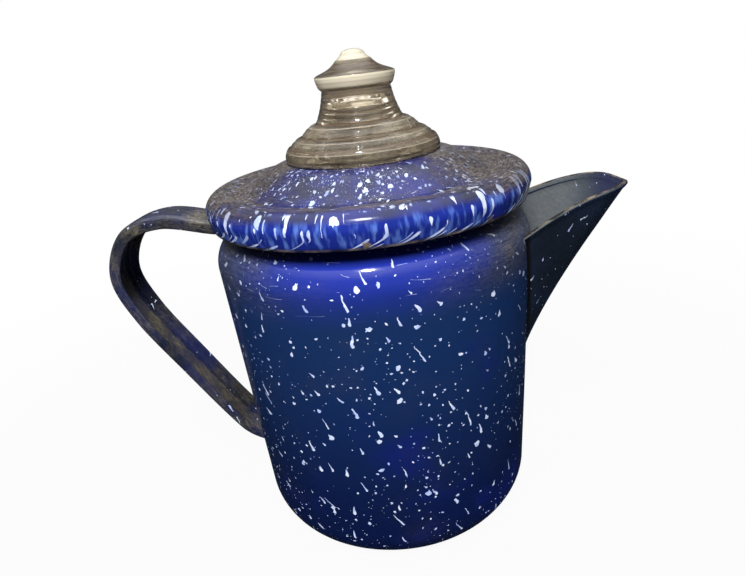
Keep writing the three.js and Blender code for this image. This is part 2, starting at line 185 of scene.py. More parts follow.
def sheet(line, thickness, round_start=True):
    """The closed outline of a sheet with one face on a line and rounded edges."""
    line = distinct(line)
    far = moved_sideways(line, thickness)

    def edge(a, b, ahead):
        middle = (Vector(a) + Vector(b)) / 2
        across = (Vector(a) - Vector(b)) / 2
        return [tuple(middle + across * cos(t) + ahead * across.length * sin(t))
                for t in (pi * k / 6 for k in range(1, 6))]

    outline = line + edge(line[-1], far[-1], (Vector(line[-1]) - Vector(line[-2])).normalized())
    outline += far[::-1]
    if round_start:
        outline += edge(far[0], line[0], (Vector(line[0]) - Vector(line[1])).normalized())
    return outline


# ------ meshes


def mesh_object(name, vertices, faces, flow=None):
    """A mesh from points in millimetres. flow gives each corner its place on the unrolled sheet."""
    mesh = bpy.data.meshes.new(name)
    mesh.from_pydata([Vector(v) * MM for v in vertices], [], faces)
    if flow is not None:
        layer = mesh.uv_layers.new(name="flow")
        layer.data.foreach_set("uv", [part * MM for face in flow for place in face for part in place])
    mesh.polygons.foreach_set("use_smooth", [True] * len(mesh.polygons))
    mesh.update()
    obj = bpy.data.objects.new(name, mesh)
    link(obj)
    return obj


def outward(obj):
    """Turns every face of a closed mesh outwards."""
    work = bmesh.new()
    work.from_mesh(obj.data)
    bmesh.ops.recalc_face_normals(work, faces=work.faces)
    work.to_mesh(obj.data)
    work.free()
    obj.data.update()
    return obj


def turned(name, outline, sides, unrolled_radius):
    """A solid turned about Z from a closed outline, or from one that starts and ends on the axis."""
    outline = distinct(outline)
    on_axis = outline[0][0] < TINY and outline[-1][0] < TINY
    if not on_axis:
        if dist(outline[0], outline[-1]) < SAME_POINT:
            outline = outline[:-1]
        outline = outline + [outline[0]]
    lengths = lengths_along(outline)
    angles = [TURN * i / sides - pi for i in range(sides + 1)]
    vertices, rings = [], []
    for k, (radius, height) in enumerate(outline):
        if not on_axis and k == len(outline) - 1:
            rings.append(rings[0])
        elif radius < TINY:
            rings.append([len(vertices)] * sides)
            vertices.append((0, 0, height))
        else:
            rings.append(range(len(vertices), len(vertices) + sides))
            vertices += [(radius * cos(a), radius * sin(a), height) for a in angles[:-1]]
    faces, flow = [], []
    for k in range(len(rings) - 1):
        for i in range(sides):
            corners = {}
            for ring, side in ((k, i), (k, i + 1), (k + 1, i + 1), (k + 1, i)):
                place = (angles[side] * unrolled_radius, lengths[ring])
                corners.setdefault(rings[ring][side % sides], place)
            faces.append(list(corners))
            flow.append(list(corners.values()))
    return outward(mesh_object(name, vertices, faces, flow))


def looped(name, loops, flow_of, cap, edge_of=None):
    """A closed skin through equal loops of points. cap lists the faces over each end.

    flow_of gives each point its place on the unrolled sheet, and edge_of its distance from a worn edge,
    which is kept in a second map.
    """
    count = len(loops[0])
    vertices = [p for loop in loops for p in loop]
    faces, flow = [], []
    for k in range(len(loops) - 1):
        for i in range(count):
            corners = ((k, i), (k, i + 1), (k + 1, i + 1), (k + 1, i))
            faces.append([row * count + column % count for row, column in corners])
            flow.append([flow_of(row, column) for row, column in corners])
    for row in (0, len(loops) - 1):
        for face in cap:
            faces.append([row * count + i for i in face])
            flow.append([flow_of(row, i) for i in face])
    obj = mesh_object(name, vertices, faces, flow)
    if edge_of is not None:
        layer = obj.data.uv_layers.new(name="edge")
        for loop in obj.data.loops:
            row, column = divmod(loop.vertex_index, count)
            layer.data[loop.index].uv = (edge_of(row, column) * MM, 0)
    return outward(obj)


def strip_cap(count):
    """Quads that close a loop whose first half runs beside its second half."""
    return [(i, i + 1, count - 2 - i, count - 1 - i) for i in range(count // 2 - 1)]


def combined(obj, operation, others):
    """The object with others joined to it or cut out of it. The others are removed."""
    for other in others:
        modifier = obj.modifiers.new("combine", "BOOLEAN")
        modifier.operation = operation
        modifier.solver = "EXACT"
        modifier.object = other
    graph = bpy.context.evaluated_depsgraph_get()
    result = bpy.data.meshes.new_from_object(obj.evaluated_get(graph), depsgraph=graph)
    obj.modifiers.clear()
    obj.data = result
    for other in others:
        bpy.data.objects.remove(other)
    return obj


def cut(obj, cutter):
    return combined(obj, "DIFFERENCE", [cutter])


def drills(places, radius, length, sides=20):
    """Rods for cutting holes. Each place is (centre, direction) in millimetres."""
    angles = [TURN * i / sides for i in range(sides)]
    vertices, faces = [], []
    for centre, direction in places:
        turn = Vector(direction).to_track_quat("Z", "Y")
        near = [len(vertices) + i for i in range(sides)]
        far = [i + sides for i in near]
        for end in (-length / 2, length / 2):
            vertices += [Vector(centre) + turn @ Vector((radius * cos(a), radius * sin(a), end))
                         for a in angles]
        faces += [near[::-1], far]
        for i in range(sides):
            j = (i + 1) % sides
            faces.append([near[i], near[j], far[j], far[i]])
    return mesh_object("drills", vertices, faces)


def radial_hole(radius, angle, height):
    """The place of a hole drilled towards the axis."""
    out = (cos(angle), sin(angle), 0)
    return (radius * out[0], radius * out[1], height), out


def floor_holes(radii, height):
    """Places for upright holes in rings of 8, 12, 16 and so on, with every other ring turned half a step."""
    places = []
    for row, radius in enumerate(radii):
        count = 8 + 4 * row
        for i in range(count):
            angle = TURN * (i + 0.5 * (row % 2)) / count
            places.append(((radius * cos(angle), radius * sin(angle), height), (0, 0, 1)))
    return places


def wobble(obj, amount, size, seed):
    """Moves each vertex a little along the radius, so that the sheet isn't perfectly true."""
    shift = Vector((seed * 3.1, seed * 7.7, seed * 5.3))
    for vertex in obj.data.vertices:
        out = Vector((vertex.co.x, vertex.co.y, 0))
        if out.length > 1e-5:
            value = noise.noise(vertex.co / (size * MM) + shift)
            vertex.co += out.normalized() * value * amount * MM
    obj.data.update()
    return obj


# ------ pot


def pot_line():
    """The outer face of the pot, from the middle of the base to the end of the rolled rim."""
    foot = (FOOT_RADIUS - FOOT_CORNER, FOOT_CORNER)
    shoulder = (POT_RADIUS - SHOULDER_CORNER, SHOULDER_START)
    neck = (NECK_RADIUS + NECK_FILLET, SHOULDER_TOP + NECK_FILLET)
    curl = (NECK_RADIUS + CURL_RADIUS, POT_RIM - CURL_RADIUS - STEEL)
    line = [(0, 0)]
    line += arc(foot, FOOT_CORNER, -QUARTER, 0, 20)
    line += arc(shoulder, SHOULDER_CORNER, 0, QUARTER, 20)
    line += arc(neck, NECK_FILLET, -QUARTER, -pi, 8)
    line += arc(curl, CURL_RADIUS, pi, -QUARTER * 0.6, 14)
    return refined(line, 3)


def build_pot():
    """The pot's shell, with the strainer holes behind the spout in four rows that narrow downwards."""
    pot = turned("pot_shell", sheet(pot_line(), STEEL, round_start=False), 256, POT_RADIUS)
    wobble(pot, 0.12, 34, 1)
    spacing = radians(7.2)
    places = []
    for row in range(4):
        count, height = 5 - row, 114 - 8 * row
        for i in range(count):
            places.append(radial_hole(POT_RADIUS, (i - (count - 1) / 2) * spacing, height))
    return cut(pot, drills(places, 2.2, 10))


def pot_plug():
    """The space inside the pot's outer face, for trimming the pieces that are welded to it."""
    inset, clear_of_neck = 0.35, POT_RIM - 4
    line = [(max(r - inset, 0), z + (GAP if z < 1 else 0)) for r, z in pot_line() if z < clear_of_neck]
    line += [(line[-1][0], POT_RIM + 10), (0, POT_RIM + 10)]
    return turned("plug", line, 256, POT_RADIUS)


# ------ spout


def pot_radius_at(height):
    """Radius of the pot's tapered wall."""
    return FOOT_RADIUS + (min(height, SHOULDER_START) - FOOT_CORNER) * WALL_SLOPE


def spout_plan(steps):
    """Half of the rim seen from above, from inside the pot to the tip, as (reach, half-width)."""
    root = 8
    nose_width = SEAM_WIDTH - SIDE_TAPER * (NOSE_START - SEAM_REACH)
    side = refined([(SEAM_REACH - root, SEAM_WIDTH + SIDE_TAPER * root), (NOSE_START, nose_width)], 1.5)
    corner, tip = (SPOUT_TIP - 4.2, 14), (SPOUT_TIP, 0)
    first = tuple(p + (q - p) * 2 / 3 for p, q in zip(side[-1], corner))
    second = tuple(p + (q - p) * 2 / 3 for p, q in zip(tip, corner))
    return distinct(side + bezier(side[-1], first, second, tip, steps))


RIM_LINE = smooth([(47, 117.5), (SEAM_REACH, 123.5), (70.4, 129.5), (83.2, 133.8), (96, 135.8),
                   (SPOUT_TIP, 134.5)], 12)


def rim_height(reach):
    for a, b in zip(RIM_LINE, RIM_LINE[1:]):
        if b[0] >= reach - TINY:
            return a[1] + (b[1] - a[1]) * (reach - a[0]) / (b[0] - a[0])
    return RIM_LINE[-1][1]


def spout_row(plan, share, inset):
    """Points of one spout row at a share of its height, from the +Y seam round the tip to the -Y seam."""
    width_share = share ** 0.75
    reach_share = share ** 1.35
    half = []
    for reach, width in plan:
        height = SPOUT_BOTTOM + (rim_height(reach) - SPOUT_BOTTOM) * share
        seam = sqrt(pot_radius_at(height) ** 2 - (SEAM_WIDTH * width_share) ** 2)
        half.append((seam + (reach - SEAM_REACH) * reach_share, width * width_share, height))
    row = half + [(x, -y, z) for x, y, z in half[-2::-1]]
    if inset:
        flat = moved_sideways([(x, y) for x, y, z in row], -inset)
        row = [(x, y, z) for (x, y), (_, _, z) in zip(flat, row)]
    return row


def spout_bead(share):
    """How far the sheet swells into a bead at a share of the spout's height."""
    if share > 0.99:
        return RIM_BEAD
    return RIM_BEAD * 0.6 if share > 0.98 else 0


def build_spout():
    """The beak spout, from a thin edge at its foot to a rounded bead along its rim."""
    plan = spout_plan(18)
    columns = 2 * len(plan) - 1
    rows, foot, rim_steps = 44, 0.05, 4
    loops = []
    for share in [0.004] + [(k / rows) ** 1.15 for k in range(1, rows)] + [0.982, 0.991, 1]:
        bead = spout_bead(share)
        wall = SPOUT_WALL * min(0.2 + 0.8 * share / foot, 1)
        loops.append(spout_row(plan, share, -bead) + spout_row(plan, share, wall + bead)[::-1])
    outer, inner = loops[-1][:columns], loops[-1][columns:][::-1]
    for k in range(1, rim_steps + 1):
        turn = QUARTER * k / (rim_steps + 0.4)
        lift = Vector((0, 0, (SPOUT_WALL / 2 + RIM_BEAD) * sin(turn)))
        middles = [(Vector(a) + Vector(b)) / 2 + lift for a, b in zip(outer, inner)]
        acrosses = [(Vector(a) - Vector(b)) / 2 * cos(turn) for a, b in zip(outer, inner)]
        ring_out = [tuple(middle + across) for middle, across in zip(middles, acrosses)]
        ring_in = [tuple(middle - across) for middle, across in zip(middles, acrosses)]
        loops.append(ring_out + ring_in[::-1])

    def flow_of(row, column):
        place = column % (2 * columns)
        x, _, z = loops[row][place]
        side = place if place < columns else 2 * columns - 1 - place
        return (200 + (side - columns / 2) * 1.4 + (120 if place >= columns else 0), z + 0.5 * x)

    def edge_of(row, column):
        return dist(loops[row][column], loops[-1][column])

    return cut(looped("spout_beak", loops, flow_of, strip_cap(2 * columns), edge_of), pot_plug())


# ------ handle

HANDLE_PATH = smooth([(-50.6, 134.9), (-63, 136.1), (-86, 140.3), (-104.5, 134.2), (-114, 115),
                      (-108, 93.5), (-92, 66), (-76, 40.2), (-68, 30.4), (-56, 24)], 16)


def handle_section():
    """The strap's section as (across, depth): a shallow channel with rounded corners and edges."""
    half, corner, crown = HANDLE_WIDTH / 2, 2.5, 0.15
    lip = (half, -HANDLE_DEPTH + HANDLE_WALL / 2)
    top = bezier((half - corner, 0), (half * 0.4, crown), (-half * 0.4, crown), (-half + corner, 0), 14)
    right = refined([lip, (half, -corner)], 0.8) + arc((half - corner, -corner), corner, 0, QUARTER, 10)
    left = [(-x, d) for x, d in reversed(right)]
    return sheet(distinct(right + top + left), HANDLE_WALL)


def build_handle():
    """The strap, swept along its path with the channel open towards the pot."""
    section = handle_section()
    loops = []
    for i, (x, z) in enumerate(HANDLE_PATH):
        before, after = HANDLE_PATH[max(i - 1, 0)], HANDLE_PATH[min(i + 1, len(HANDLE_PATH) - 1)]
        along = Vector((after[0] - before[0], after[1] - before[1])).normalized()
        out = Vector((along.y, -along.x))
        loops.append([(x + out.x * d, w, z + out.y * d) for w, d in section])
    lengths = lengths_along(HANDLE_PATH)
    around = lengths_along(section + section[:1])
    strap = looped("handle_strap", loops, lambda row, column: (around[column], lengths[row]),
                   strip_cap(len(section)))
    return cut(strap, pot_plug())


# ------ lid


def lid_line():
    """The upper face of the lid, from the hole for the knob to the end of its rolled band."""
    crest = (LID_RADIUS - LID_BAND, LID_WIDEST + LID_BAND)
    valley = (VALLEY_RADIUS, LID_SEAT - 8.4)
    seat = (31, LID_SEAT)
    line = [(LID_HOLE, LID_SEAT), seat]
    line += bezier(seat, (39, LID_SEAT - 0.5), (44.5, valley[1]), valley, 22)
    line += bezier(valley, (valley[0] + 2.8, valley[1]), (crest[0] - 3.2, crest[1]), crest, 12)
    line += arc((crest[0], LID_WIDEST), LID_BAND, QUARTER, 0, 16)
    line += [(LID_RADIUS - 1.3, LID_EDGE)]
    return refined(line, 2.5)


def flat_prism(name, corners, low, high):
    """An upright prism over a plane outline."""
    loops = [[(x, y, z) for x, y in corners] for z in (low, high)]
    return looped(name, loops, lambda row, column: (column, row), [tuple(range(len(corners)))])


def build_lid():
    """The lid, with two bayonet notches at its hole."""
    lid = turned("lid_cover", sheet(lid_line(), -STEEL), 256, LID_RADIUS)
    wobble(lid, 0.1, 30, 2)
    half, reach = 7, 22.4
    corners = [(-reach, -half), (reach, -half), (reach, half), (-reach, half)]
    return cut(lid, flat_prism("notch", corners, LID_SEAT - 3, LID_SEAT + 2))


def build_lid_ring():
    low, high, radius = span("lid_ring")
    bend = (radius, 144.8)
    line = [(radius, low), bend]
    line += bezier(bend, (radius, 145.6), (radius - 0.4, 146), (radius - 1, 146.3), 5)
    line += [(43.6, 148)]
    return turned("lid_collar", sheet(refined(line, 2.5), ALUMINIUM), 160, radius)


# ------ glass knob


def tier(start, end, bulge, steps=8):
    """A convex step of the glass between two points."""
    a, b = Vector(start), Vector(end)
    side = Vector(((b - a).y, -(b - a).x)).normalized() * bulge
    return bezier(start, tuple(a.lerp(b, 0.2) + side), tuple(a.lerp(b, 0.7) + side), end, steps)


def ribbed(points, depth, pitch):
    """The same line with the rings that a turned mould leaves in glass."""
    return [(r + depth * sin(TURN * z / pitch), z) for r, z in points]


def knob_outline():
    """The plug in the lid, three ribbed tiers, the concave neck, the cap's band and roof, and the finial."""
    plug = (18.1, KNOB_BOTTOM)
    tops = TIER_TOPS
    line = [(0, KNOB_BOTTOM), plug] + arc((plug[0], KNOB_BOTTOM + 0.4), 0.4, -QUARTER, 0, 3)
    line += [(18.5, KNOB_FLANGE), (KNOB_RADIUS - 1.2, KNOB_FLANGE)]
    line += arc((KNOB_RADIUS - 1, KNOB_FLANGE + 1), 1, -QUARTER, 0, 5)
    line += tier((KNOB_RADIUS, KNOB_FLANGE + 1.6), (29, tops[0]), 0.4, 14)
    line += ribbed(tier((28, tops[0] + 0.2), (24.4, tops[1]), 0.45, 24), 0.12, 1.5)
    line += ribbed(tier((22.9, tops[1] + 0.4), (18.4, tops[2]), 0.6, 30), 0.10, 1.4)
    neck, cap, roof = KNOB_NECK_TOP, KNOB_CAP, KNOB_ROOF
    throat = bezier((16.9, tops[2] + 0.4), (15.2, neck - 8.2), (13.9, neck - 4.2), (13.2, neck), 40)
    line += ribbed(throat, 0.05, 1.9)
    line += bezier((13.2, neck), (13.3, neck + 0.4), (14.1, neck + 0.6), (14.4, neck + 1.4), 5)
    line += bezier((14.4, neck + 1.4), (14.9, cap - 2.3), (15.4, cap - 0.9), (15.2, cap), 6)
    line += bezier((15.2, cap), (14.4, cap + 1), (9.6, cap + 1.7), (7.8, roof - 0.1), 10)
    line += tier((7.5, roof), (6.2, roof + 1.3), 0.2, 4)
    line += tier((5.9, roof + 1.4), (5, roof + 2.3), 0.15, 4)
    line += bezier((4.8, roof + 2.4), (4.4, roof + 4), (2.6, KNOB_TOP), (0, KNOB_TOP), 8)
    return distinct(line)


def knob_bore():
    """The hollow of the knob, ribbed inside as pressed glass is."""
    mouth, bend = (15.5, KNOB_BOTTOM + 1), (15, KNOB_BOTTOM + 11)
    wall = refined([mouth, bend], 0.3)
    wall += bezier(bend, (12.5, bend[1] + 3), (10.5, bend[1] + 5.5), (9, bend[1] + 11), 40)
    wall = ribbed(wall, 0.2, 2.1)
    crown = KNOB_BOTTOM + 26
    dome = bezier(wall[-1], (8.2, crown - 0.6), (3, crown), (0, crown), 10)
    below = KNOB_BOTTOM - 1
    return distinct([(0, below), (mouth[0], below)] + wall + dome)


def build_knob():
    """The hollow knob with its two bayonet lugs, which sit under the sheet of the lid."""
    lug_top = LID_SEAT - STEEL - GAP
    lug_radius, half, root = 21.6, 6.2, 16.5
    lugs = []
    for side in (-1, 1):
        rim = [(x, side * sqrt(lug_radius ** 2 - x ** 2)) for x in (half * k / 6 for k in range(-6, 7))]
        back = [(x, side * root) for x in (half, -half)]
        lugs.append(flat_prism("lug", rim + back, lug_top - 1.7, lug_top))
    knob = combined(turned("knob_glass", knob_outline(), 192, 30), "UNION", lugs)
    return cut(knob, turned("bore", knob_bore(), 160, 15))


# ------ pump and basket


def build_tube():
    """The pump's tube, with a flared foot and the rolled bead that carries the basket."""
    low, high, bead_radius = span("pump_tube")
    bead = span("basket_cup")[0] - GAP
    outer, bore = 4, 3.4
    line = [(bore, high), (bore, low + 0.4), (5, low), (5.4, low + 0.2), (5.4, low + 0.7)]
    line += bezier((5.3, low + 0.8), (4.6, low + 1), (4.1, low + 1.2), (outer, low + 1.8), 5)
    line += [(outer, bead - 2.2)]
    line += bezier((outer, bead - 2), (4.6, bead - 1.9), (5.4, bead - 1.5), (bead_radius, bead - 0.8), 5)
    line += [(bead_radius, bead - 0.2), (5.6, bead), (outer, bead), (outer, high - 0.2), (3.8, high)]
    return turned("stem_tube", refined(line, 6), 64, outer)


def build_bell():
    """The flared foot of the pump, with four holes near its edge."""
    low, top, radius = span("pump_bell")
    throat, top_bend = 10.5, 1.2
    line = [(radius, low + 0.7), (25, low + 0.7)]
    line += bezier((25, low + 0.7), (21.5, low + 1.2), (17, 8), (12.5, 12), 12)
    line += bezier((12.5, 12), (11.2, 13), (throat, 13.6), (throat, 15), 5)
    line += [(throat, top - top_bend)]
    line += arc((throat - top_bend, top - top_bend), top_bend, 0, QUARTER, 5) + [(4.4, top)]
    bell = turned("stem_bell", sheet(refined(line, 2.5), ALUMINIUM), 128, radius)
    places = [radial_hole(24, (i + 0.5) * QUARTER, low) for i in range(4)]
    return cut(bell, drills(places, 3.2, 16))


def build_seat():
    low, high, radius = span("valve_seat")
    outline = sheet([(4.5, low), (radius, low)], high - low)
    return turned("valve_ring", outline, 64, radius)


def build_disc():
    low, high, radius = span("valve_disc")
    line = [(0, low), (radius - 0.2, low), (radius, low + 0.15), (radius, high - 0.15)]
    line += [(radius - 0.2, high), (0, high)]
    return turned("valve_plate", line, 64, radius)


def build_basket():
    """The grounds basket, with a perforated floor and a flared lip."""
    low, high, radius = span("basket_cup")
    corner, lip = 3, (40, high - 1.6)
    line = [(4.5, low)] + arc((35.6, low + corner), corner, -QUARTER, 0, 8)
    line += [lip] + bezier(lip, (40.1, high - 1), (40.6, high - 0.8), (radius, high - 0.7), 5)
    basket = turned("basket_wall", sheet(refined(line, 3), ALUMINIUM), 160, radius)
    return cut(basket, drills(floor_holes((10, 15, 20, 25, 30), low + 0.35), 1.1, 4, 12))


def build_sleeve():
    """The tube in the middle of the basket, with a collar at its foot."""
    low, high, collar = span("basket_sleeve")
    bore, wall = 4.6, 5.3
    line = [(bore, low), (collar - 0.2, low), (collar, low + 0.2), (collar, low + 0.6), (6.2, low + 0.8)]
    line += bezier((6.2, low + 0.8), (5.6, low + 0.9), (wall, low + 1.2), (wall, low + 1.8), 4)
    line += [(wall, high - 0.2), (wall - 0.2, high), (bore, high)]
    return turned("basket_tube", refined(line, 5), 64, 5)


def build_spreader():
    """The perforated dish that lies on the basket."""
    low, high, radius = span("basket_lid")
    floor, wall = 35.4, 37
    line = [(4.8, low + 1.2), (5.6, low + 0.3), (7, low), (floor, low)]
    line += bezier((floor, low), (floor + 1.2, low), (wall, low + 0.5), (wall, low + 1.6), 5)
    line += bezier((wall, high - 1.6), (37.1, high - 1), (37.6, high - 0.7), (radius, high - 0.7), 5)
    dish = turned("basket_cover", sheet(refined(line, 3), ALUMINIUM), 160, radius)
    return cut(dish, drills(floor_holes((11, 16.5, 22, 27.5, 32.5), low + 0.35), 1.3, 4, 12))


# ------ node building


class Nodes:
    """A short way to write shader nodes."""

    def __init__(self, tree):
        self.tree = tree

    def add(self, kind, inputs=None, **settings):
        node = self.tree.nodes.new("ShaderNode" + kind)
        for key, value in settings.items():
            setattr(node, key, value)
        for key, value in (inputs or {}).items():
            self.feed(node.inputs[key], value)
        return node

    def feed(self, socket, value):
        if isinstance(value, bpy.types.NodeSocket):
            self.tree.links.new(value, socket)
        elif isinstance(value, bpy.types.Node):
            self.tree.links.new(value.outputs[0], socket)
        else:
            socket.default_value = (*value, 1) if socket.type == "RGBA" else value

    def math(self, operation, *values, clamp=False):
        inputs = dict(enumerate(values))
        return self.add("Math", inputs, operation=operation, use_clamp=clamp).outputs[0]

    def folded(self, operation, total, *others):
        for value in others:
            total = self.math(operation, total, value)
        return total

    def times(self, *values):
        return self.folded("MULTIPLY", *values)

    def plus(self, *values):
        return self.folded("ADD", *values)

    def minus(self, a, b):
        return self.math("SUBTRACT", a, b)

    def most(self, *values):
        return self.folded("MAXIMUM", *values)

    def distance(self, x, y):
        return self.math("SQRT", self.plus(self.times(x, x), self.times(y, y)))

    def vector(self, operation, a, b=None, scale=1):
        inputs = {0: a, "Scale": scale} if b is None else {0: a, 1: b}
        return self.add("VectorMath", inputs, operation=operation).outputs[0]

    def ramp(self, value, low, high, to_low=0, to_high=1, kind="SMOOTHSTEP"):
        inputs = {"Value": value, "From Min": low, "From Max": high, "To Min": to_low, "To Max": to_high}
        return self.add("MapRange", inputs, interpolation_type=kind).outputs[0]

    def fade(self, value, low, high, to_low=0, to_high=1):
        """A ramp over a length, between two places in millimetres."""
        return self.ramp(value, low * MM, high * MM, to_low, to_high)

    def window(self, value, low, high, soft):
        """One inside a range in millimetres and nought outside it, with soft ends."""
        return self.times(self.fade(value, low - soft, low + soft),
                          self.fade(value, high + soft, high - soft))

    def mix(self, share, a, b):
        return self.add("Mix", {0: share, 6: a, 7: b}, data_type="RGBA").outputs[2]

    def split(self, vector):
        node = self.add("SeparateXYZ", {0: vector})
        return node.outputs[0], node.outputs[1], node.outputs[2]

    def join(self, x, y, z=0):
        return self.add("CombineXYZ", {0: x, 1: y, 2: z}).outputs[0]


class Surface(Nodes):
    """The nodes of a new material. Noise scales are in lumps per metre.

    x, y and z are the shaded point, radius its distance from the axis, front how far it faces front or
    back, and u and v its place on the unrolled sheet.
    """

    def __init__(self, name):
        self.material = bpy.data.materials.new(name)
        self.material.use_nodes = True
        self.material.node_tree.nodes.clear()
        super().__init__(self.material.node_tree)
        self.point = self.add("TexCoord").outputs["Object"]
        self.x, self.y, self.z = self.split(self.point)
        self.radius = self.distance(self.x, self.y)
        self.front = self.math("DIVIDE", self.math("ABSOLUTE", self.y), self.most(self.radius, MM))
        self.flow = self.add("UVMap", uv_map="flow").outputs[0]
        self.u, self.v, _ = self.split(self.flow)

    def noise(self, scale, detail=2, rough=0.5, place=None, kind="3D"):
        inputs = {"Vector": place or self.point, "Scale": scale, "Detail": detail, "Roughness": rough}
        return self.add("TexNoise", inputs, noise_dimensions=kind).outputs[0]

    def patches(self, scale, detail, rough, low, high, to_low=0, to_high=1):
        """Noise parted into patches of nought and one, with soft edges."""
        return self.ramp(self.noise(scale, detail, rough), low, high, to_low, to_high)

    def clusters(self, scale, detail, low, high, to_low, to_high):
        """Patches of noise on the unrolled sheet."""
        return self.ramp(self.noise(scale, detail, 0.5, self.flow, "2D"), low, high, to_low, to_high)

    def waver(self, scale, amount):
        """Noise that swings about nought."""
        return self.times(self.minus(self.noise(scale, 3), 0.5), amount)

    def shader(self, inputs):
        return self.add("BsdfPrincipled", inputs)

    def finished(self, shader):
        self.add("OutputMaterial", {"Surface": shader})
        return self.material


# ------ spatter

SPATTER_INPUTS = ("Cell", "Density", "Head", "Smallest", "Tail", "Lean", "Spread", "Seed")


def spatter_group():
    """Node group: one layer of enamel spatter on the unrolled sheet.

    Each Voronoi cell holds one drop: a round head that tapers into a tail. Cell is the spacing, Head the
    largest head radius, Tail the longest tail, all in metres. Lean and Spread turn the tails.
    """
    tree = bpy.data.node_groups.new("Spatter", "ShaderNodeTree")
    tree.interface.new_socket("Place", in_out="INPUT", socket_type="NodeSocketVector")
    for name in SPATTER_INPUTS:
        tree.interface.new_socket(name, in_out="INPUT", socket_type="NodeSocketFloat")
    tree.interface.new_socket("Mask", in_out="OUTPUT", socket_type="NodeSocketFloat")
    n = Nodes(tree)
    inp = tree.nodes.new("NodeGroupInput").outputs
    out = tree.nodes.new("NodeGroupOutput")

    ragged = n.add("TexNoise", {"Vector": inp["Place"], "Scale": 520, "Detail": 1},
                   noise_dimensions="2D").outputs["Color"]
    shift = n.vector("SCALE", n.vector("SUBTRACT", ragged, (0.5, 0.5, 0.5)), scale=0.0008)
    offset = n.join(inp["Seed"], n.times(inp["Seed"], 1.7))
    place = n.vector("ADD", n.vector("ADD", inp["Place"], shift), offset)
    cells = n.add("TexVoronoi", {
        "Vector": place, "Randomness": 0.9, "Scale": n.math("DIVIDE", 1, inp["Cell"])},
        voronoi_dimensions="2D").outputs
    more = n.add("TexWhiteNoise", {"Vector": cells["Position"]}, noise_dimensions="2D").outputs
    pick_angle, pick_head, pick_present = n.add("SeparateColor", {0: cells["Color"]}).outputs
    pick_tail, pick_bend, _ = n.add("SeparateColor", {0: more["Color"]}).outputs
    angle = n.plus(inp["Lean"], n.times(n.minus(pick_angle, 0.5), inp["Spread"]))
    local = n.vector("SUBTRACT", place, cells["Position"])
    turn = n.add("VectorRotate", {"Vector": local, "Angle": angle}, rotation_type="Z_AXIS")
    x, y, _ = n.split(turn.outputs[0])
    size = n.ramp(n.math("POWER", pick_head, 2), 0, 1, inp["Smallest"], 1, "LINEAR")
    head = n.times(inp["Head"], size)
    tail = n.most(n.times(inp["Tail"], n.math("POWER", pick_tail, 1.5)), 0.01 * MM)
    bend = n.times(n.times(n.minus(pick_bend, 0.5), 60), n.times(y, y))
    along = n.math("DIVIDE", y, tail, clamp=True)
    distance = n.distance(n.plus(x, bend), n.minus(y, n.times(along, tail)))
    radius = n.times(head, n.minus(1, n.times(along, 0.8)))
    inside = n.fade(n.minus(distance, radius), 0.06, -0.06)
    n.feed(out.inputs[0], n.times(inside, n.math("LESS_THAN", pick_present, inp["Density"])))
    return tree


SPATTER = spatter_group()


def spatter(n, place, *layers):
    """Layers of drops, each as SPATTER_INPUTS lists them, with millimetres and degrees."""
    masks = []
    for cell, density, head, smallest, tail, lean, spread, seed in layers:
        values = (cell * MM, density, head * MM, smallest, tail * MM, radians(lean),
                  radians(spread), seed)
        inputs = dict(zip(SPATTER_INPUTS, values), Place=place)
        masks.append(n.add("Group", inputs, node_tree=SPATTER).outputs[0])
    return n.most(*masks)


# ------ enamel

# Bright cobalt, used only as painted light on the shoulder.
LIT_COBALT = (0.012, 0.024, 0.26)
BARE_STEEL = (0.008, 0.006, 0.006)
RUST = (0.15, 0.115, 0.070)
DROP_BLUE = (0.36, 0.46, 0.80)
DROP_WHITE = (0.72, 0.79, 0.95)

# The darker and the lighter colour of the dirt on each piece; on the handle they also colour a painted
# reflection.
GREY_SOIL = (0.018, 0.019, 0.024), (0.085, 0.082, 0.084)
BROWN_SOIL = (0.014, 0.011, 0.013), (0.115, 0.094, 0.078)
OLIVE_SOIL_AND_REFLECTION = (0.024, 0.024, 0.022), (0.205, 0.175, 0.110)
SPOUT_SOIL = (0.062, 0.072, 0.080), (0.092, 0.097, 0.100)


def enamel(name, blue, layers, film, soil, wear=None, grain=(0.09, 1)):
    """Glossy cobalt enamel with white spatter.

    blue gives the ground colour, with painted light and shade on the pot and lid, layers the spatter mask,
    film a share of dirt over everything, which on the handle also holds a painted reflection, and wear a
    share of bare rusty metal. soil is the film's two colours, and grain squeezes its streaks across and
    along the sheet.
    """
    n = Surface(name)
    white = layers(n)
    drops = n.mix(n.patches(300, 2, 0.5, 0.3, 0.7), DROP_BLUE, DROP_WHITE)
    colour = n.mix(n.times(white, 0.93), blue(n), drops)
    # On the handle, this share also holds a painted reflection in the channel.
    dirt = film(n)
    streaks = n.join(n.times(n.u, grain[0]), n.times(n.v, grain[1]))
    wiped = n.noise(1700, 3, 0.6, streaks, "2D")
    fleck = n.plus(n.times(n.noise(900, 3, 0.7), 0.5), n.times(wiped, 0.5))
    colour = n.mix(dirt, colour, n.mix(n.ramp(fleck, 0.38, 0.64), *soil))
    smear = n.patches(38, 5, 0.6, 0.4, 0.75)
    roughness = n.plus(0.10, n.times(smear, 0.14), n.times(dirt, 0.5))
    if wear is not None:
        bare = wear(n)
        rust = n.mix(n.patches(200, 4, 0.5, 0.42, 0.68), BARE_STEEL, RUST)
        colour = n.mix(bare, colour, rust)
        roughness = n.plus(roughness, n.times(bare, 0.55))
    height = n.plus(n.times(n.noise(110), 0.05 * MM), n.times(white, 0.03 * MM))
    bump = n.add("Bump", {"Height": height, "Distance": 1, "Strength": 1})
    return n.finished(n.shader({
        "Base Color": colour, "Roughness": n.math("MINIMUM", roughness, 0.85), "IOR": 1.5, "Normal": bump}))


def mottled(n, scale, detail, rough, dark, light):
    return n.mix(n.patches(scale, detail, rough, 0.35, 0.65), dark, light)


